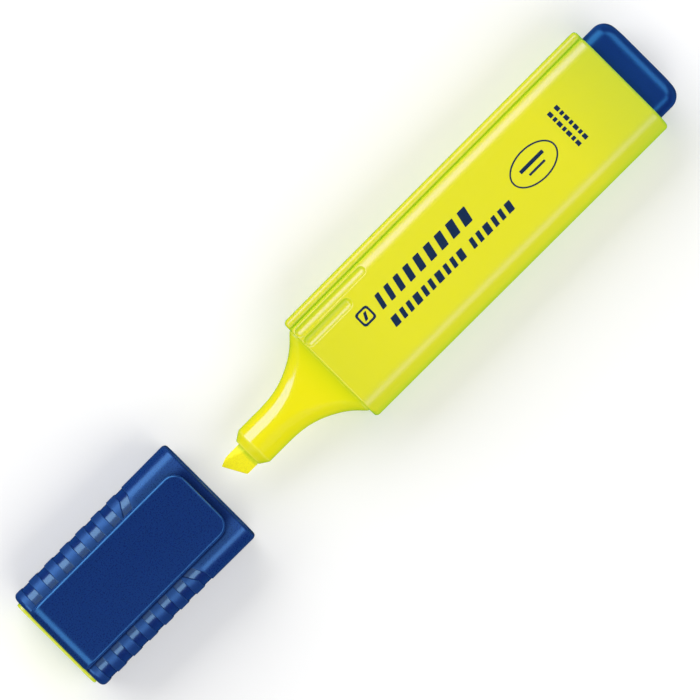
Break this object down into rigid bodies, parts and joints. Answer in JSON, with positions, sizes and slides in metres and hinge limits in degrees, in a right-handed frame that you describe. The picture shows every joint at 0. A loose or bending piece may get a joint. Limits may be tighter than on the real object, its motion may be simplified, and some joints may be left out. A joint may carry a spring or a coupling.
{
  "type": "capped highlighter",
  "caption": "Flat-bodied highlighter with a flared nose, a slanted chisel nib, a rear plug and a ribbed clip cap that pulls off along the pen.",
  "frame": {"origin": "middle of the barrel's flat back face, which the pen rests on", "axes": "+X along the pen towards the rear plug, +Y across the pen towards the beaded long edge, +Z out of the face that carries the clip"},
  "size_m": [0.168, 0.027, 0.0192],
  "materials": {
    "barrel_yellow": "satin gloss fluorescent yellow polypropylene",
    "nose_yellow": "gloss fluorescent yellow polypropylene",
    "nib_fibre": "bonded polyester fibre soaked with yellow ink",
    "reservoir_fibre": "polyester fibre bundle soaked with yellow ink",
    "clear_film": "thin clear film",
    "plug_blue": "satin blue polypropylene",
    "cap_blue": "fine-grained blue polypropylene with smooth rib recesses",
    "insert_yellow": "gloss fluorescent yellow polypropylene"
  },
  "bodies": {
    "barrel": {"barrel": "barrel_yellow", "nose": "nose_yellow", "nib": "nib_fibre", "ink_reservoir": "reservoir_fibre", "reservoir_film": "clear_film", "rear_plug": "plug_blue"},
    "cap": {"cap_shell": "cap_blue", "cap_insert": "insert_yellow"},
    "clip": {"cap_clip": "cap_blue"}
  },
  "joints": [
    {"name": "cap_pull", "type": "slide", "parent": "barrel", "child": "cap", "axis": [1, 0, 0], "range_m": [0, 0.0342]},
    {"name": "clip_flex", "type": "hinge", "parent": "cap", "child": "clip", "pos_m": [-0.11925, 0, 0.01686], "axis": [0, -1, 0], "range_deg": [0, 4], "stiffness_Nm_per_rad": 3}
  ]
}
